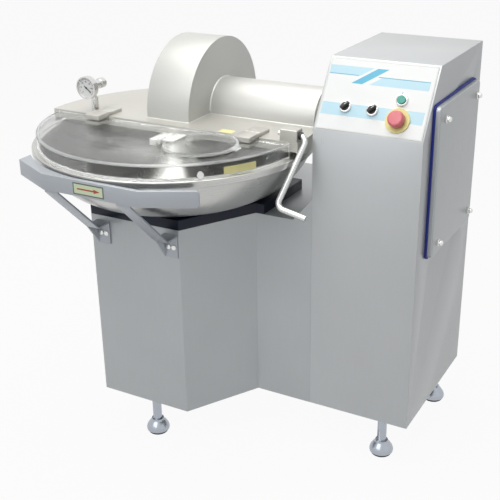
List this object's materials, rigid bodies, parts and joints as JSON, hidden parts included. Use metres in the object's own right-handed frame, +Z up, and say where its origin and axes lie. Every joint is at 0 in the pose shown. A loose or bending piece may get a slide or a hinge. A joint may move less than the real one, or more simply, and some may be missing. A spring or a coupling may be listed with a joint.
{
  "type": "meat bowl cutter",
  "caption": "Free-standing bowl cutter: open trough bowl under a hinged steel cover with clear lid, knife hood and shaft tube, beside a tall console.",
  "frame": {"origin": "on the floor, under the middle of the machine", "axes": "+X towards the console side, -Y towards the operator, +Z up"},
  "size_m": [1.0941, 0.841, 1.067],
  "materials": {
    "brushed_stainless": "fine brushed stainless sheet",
    "bowl_stainless": "turned and polished stainless",
    "arm_stainless": "turned stainless",
    "knife_steel": "ground blade steel",
    "bearing_steel": "ground",
    "polished_steel": "polished",
    "black_plastic": "satin",
    "seal_blue": "matt",
    "clear_acrylic": "clear, glossy",
    "white_plastic": "glossy",
    "foot_rubber": "matt",
    "panel_laminate": "satin printed film",
    "green_plastic": "glossy",
    "yellow_plastic": "satin",
    "red_plastic": "glossy",
    "neck_dark": "satin",
    "cast_iron": "machined casting",
    "drive_paint": "satin paint",
    "box_paint": "satin paint",
    "pulley_aluminium": "turned",
    "belt_rubber": "matt",
    "needle_black": "satin"
  },
  "bodies": {
    "machine": {"console_frame": "brushed_stainless", "base_frame": "brushed_stainless", "console_side_seal": "seal_blue", "console_side_panel": "brushed_stainless", "base_side_seal": "seal_blue", "base_side_panel": "brushed_stainless", "rear_panel": "brushed_stainless", "panel_dome_nuts": "polished_steel", "cable_gland": "black_plastic", "levelling_feet": "polished_steel", "foot_rubbers": "foot_rubber", "control_panel": "panel_laminate", "control_bezels": "polished_steel", "stop_ring": "yellow_plastic", "switch_bodies": "black_plastic", "neck_skirt": "neck_dark", "bowl_bearing_housing": "cast_iron", "bowl_gear_motor": "drive_paint", "knife_arm": "arm_stainless", "arm_end_cap": "arm_stainless", "shaft_bearings": "bearing_steel", "drive_belt": "belt_rubber", "main_motor": "drive_paint", "motor_plate": "drive_paint", "control_box": "box_paint", "cover_hinge_posts": "brushed_stainless", "cover_hinge_pins": "polished_steel", "hand_guard": "brushed_stainless", "guard_struts": "brushed_stainless", "guard_brackets": "brushed_stainless", "guard_bolts": "polished_steel"},
    "bowl": {"bowl": "bowl_stainless", "bowl_hub_nut": "polished_steel", "bowl_shaft": "polished_steel"},
    "knife_head": {"knife_shaft": "polished_steel", "knives": "knife_steel", "knife_rings": "polished_steel", "knife_nut": "polished_steel", "shaft_pulley": "pulley_aluminium"},
    "motor_rotor": {"motor_shaft": "polished_steel", "motor_pulley": "pulley_aluminium"},
    "cover": {"rear_cover": "brushed_stainless", "knife_hood": "brushed_stainless", "shaft_tube": "brushed_stainless", "lid_hinge_leaves": "brushed_stainless", "lever_bracket": "brushed_stainless", "thermometer_case": "polished_steel"},
    "lid": {"acrylic_lid": "clear_acrylic", "lid_hinge_blocks": "brushed_stainless", "port_ring": "clear_acrylic", "port_hinge_base": "white_plastic", "lid_catch": "polished_steel"},
    "port_flap": {"port_lid": "clear_acrylic", "port_hinge_flap": "white_plastic"},
    "lever": {"locking_lever": "polished_steel"},
    "needle": {"thermometer_needle": "needle_black"},
    "start": {"start_button": "green_plastic"},
    "stop": {"stop_button": "red_plastic"},
    "selector_left": {"left_selector": "black_plastic"},
    "selector_right": {"right_selector": "black_plastic"}
  },
  "joints": [
    {"name": "bowl_spin", "type": "hinge", "parent": "machine", "child": "bowl", "pos_m": [-0.168, -0.031, 0.72], "axis": [0, 0, 1], "continuous": true},
    {"name": "knife_spin", "type": "hinge", "parent": "machine", "child": "knife_head", "pos_m": [0, 0.154, 0.882], "axis": [1, 0, 0], "continuous": true},
    {"name": "motor_spin", "type": "hinge", "parent": "machine", "child": "motor_rotor", "pos_m": [0.4, 0.154, 0.33], "axis": [1, 0, 0], "continuous": true},
    {"name": "cover_lift", "type": "hinge", "parent": "machine", "child": "cover", "pos_m": [-0.168, 0.374, 0.86], "axis": [-1, 0, 0], "range_deg": [0, 80]},
    {"name": "lid_lift", "type": "hinge", "parent": "cover", "child": "lid", "pos_m": [-0.1515, -0.054, 0.881], "axis": [-1, 0, 0], "range_deg": [0, 58]},
    {"name": "port_flap_lift", "type": "hinge", "parent": "lid", "child": "port_flap", "pos_m": [-0.086, -0.198, 0.8853], "axis": [0, -1, 0], "range_deg": [0, 95]},
    {"name": "lever_swing", "type": "hinge", "parent": "cover", "child": "lever", "pos_m": [0.15, -0.048, 0.889], "axis": [-1, 0, 0], "range_deg": [0, 60]},
    {"name": "needle_turn", "type": "hinge", "parent": "cover", "child": "needle", "pos_m": [-0.425, -0.07, 0.945], "axis": [0, 1, 0], "range_deg": [-170, 90]},
    {"name": "start_press", "type": "slide", "parent": "machine", "child": "start", "axis": [0, 0.8408, -0.5413], "range_m": [0, 0.004], "stiffness_N_per_m": 600},
    {"name": "stop_press", "type": "slide", "parent": "machine", "child": "stop", "axis": [0, 0.8408, -0.5413], "range_m": [0, 0.004]},
    {"name": "left_selector_turn", "type": "hinge", "parent": "machine", "child": "selector_left", "pos_m": [0.303, 0.00218, 0.95965], "axis": [0, -0.8408, 0.5413], "range_deg": [0, 90]},
    {"name": "right_selector_turn", "type": "hinge", "parent": "machine", "child": "selector_right", "pos_m": [0.372, 0.00164, 0.95881], "axis": [0, -0.8408, 0.5413], "range_deg": [0, 90]}
  ],
  "couplings": [
    {"joint": "motor_spin", "follows": "knife_spin", "ratio": 0.75}
  ]
}
